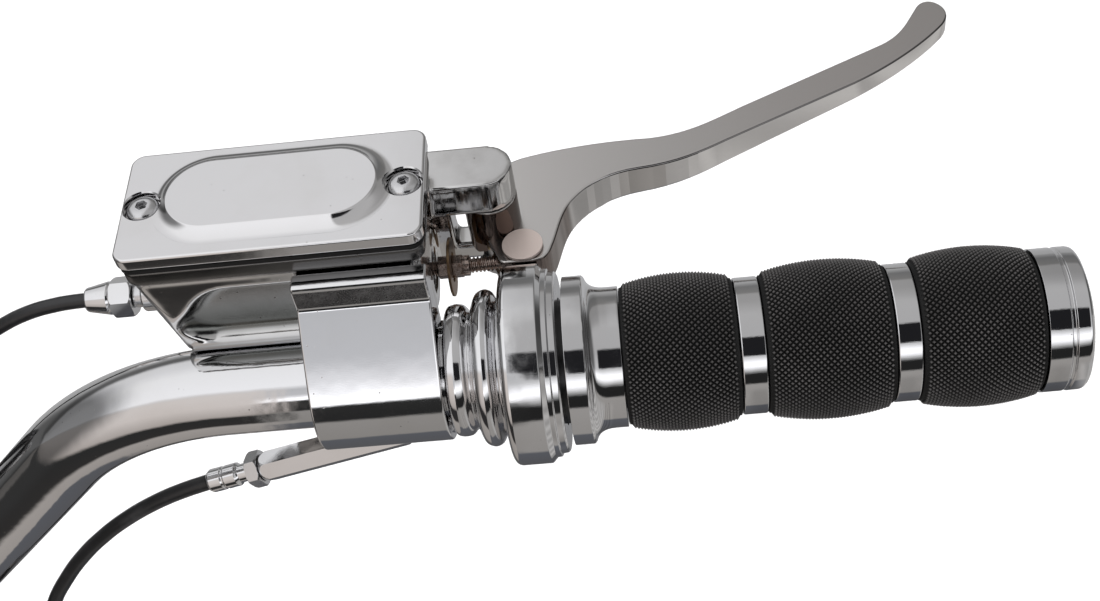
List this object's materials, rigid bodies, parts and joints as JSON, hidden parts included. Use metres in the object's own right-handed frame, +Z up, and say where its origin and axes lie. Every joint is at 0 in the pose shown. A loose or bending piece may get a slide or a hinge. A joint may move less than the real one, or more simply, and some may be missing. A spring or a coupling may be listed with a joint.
{
  "type": "clutch lever",
  "caption": "Chromed hydraulic motorcycle hand lever with square reservoir, clamped to a bent handlebar end beside a ribbed throttle housing and a banded, knurled twist grip.",
  "frame": {"origin": "on the handlebar's axis, in the middle of the master cylinder clamp", "axes": "+X along the bar towards its free end, +Y forward, away from the rider, +Z up, square to the reservoir cover"},
  "size_m": [0.411, 0.1562, 0.2421],
  "materials": {
    "chrome": "bright polished chrome plate",
    "polished_lever": "satin polished aluminium",
    "plain_steel": "plain bright steel",
    "rusty_steel": "discoloured steel with light rust",
    "bronze": "plain bearing bronze",
    "black_rubber": "matt black rubber, knurled on the grip",
    "black_plastic": "smooth black plastic"
  },
  "bodies": {
    "perch": {"handlebar": "chrome", "master_cylinder_body": "chrome", "handlebar_clamp": "chrome", "clamp_screw_left": "plain_steel", "clamp_screw_right": "plain_steel", "reservoir_cover": "chrome", "reservoir_diaphragm": "black_rubber", "cover_screw_left": "plain_steel", "cover_screw_right": "plain_steel", "stop_washer": "plain_steel", "retaining_ring": "plain_steel", "pivot_screw": "plain_steel", "throttle_housing": "chrome", "throttle_ring": "chrome", "cable_guide_tube": "chrome", "cable_adjuster": "chrome", "adjuster_lock_nut": "plain_steel", "cable_ferrule": "chrome", "throttle_cable": "black_plastic", "throttle_cable_coil": "black_plastic", "cable_end_fitting": "plain_steel", "outlet_adapter": "plain_steel", "hose_nut": "chrome", "hose_sleeve": "chrome", "hydraulic_hose": "black_plastic", "hydraulic_hose_coil": "black_plastic", "hose_end_fitting": "chrome"},
    "lever": {"clutch_lever": "polished_lever", "pivot_bushing": "bronze"},
    "pushrod_assembly": {"cross_barrel": "polished_lever", "pushrod": "rusty_steel", "rod_adjuster": "rusty_steel", "dust_washer": "rusty_steel"},
    "piston_assembly": {"piston": "polished_lever", "primary_cup": "black_rubber", "secondary_seal": "black_rubber", "return_spring": "plain_steel"},
    "grip": {"throttle_tube": "black_plastic", "grip_collar": "chrome", "grip_rubber_1": "black_rubber", "grip_rubber_2": "black_rubber", "grip_rubber_3": "black_rubber", "grip_band_1": "chrome", "grip_band_2": "chrome", "grip_end_cap": "chrome"}
  },
  "joints": [
    {"name": "lever_pivot", "type": "hinge", "parent": "perch", "child": "lever", "pos_m": [0.0323, 0.048, 0.012], "axis": [0, 0, 1], "range_deg": [-16, 0], "stiffness_Nm_per_rad": 4, "springref_deg": 8.59},
    {"name": "barrel_swivel", "type": "hinge", "parent": "lever", "child": "pushrod_assembly", "pos_m": [0.0406, 0.0366, 0.003], "axis": [0, 0, 1], "range_deg": [0, 13.5]},
    {"name": "piston_stroke", "type": "slide", "parent": "perch", "child": "piston_assembly", "axis": [1, 0, 0], "range_m": [-0.0035, 0]},
    {"name": "throttle_twist", "type": "hinge", "parent": "perch", "child": "grip", "pos_m": [0.11, 0, 0], "axis": [1, 0, 0], "range_deg": [0, 75], "stiffness_Nm_per_rad": 0.3, "springref_deg": -22.92}
  ],
  "couplings": [
    {"joint": "barrel_swivel", "follows": "lever_pivot", "ratio": -0.821},
    {"joint": "piston_stroke", "follows": "lever_pivot", "m_per_rad": 0.01224}
  ]
}
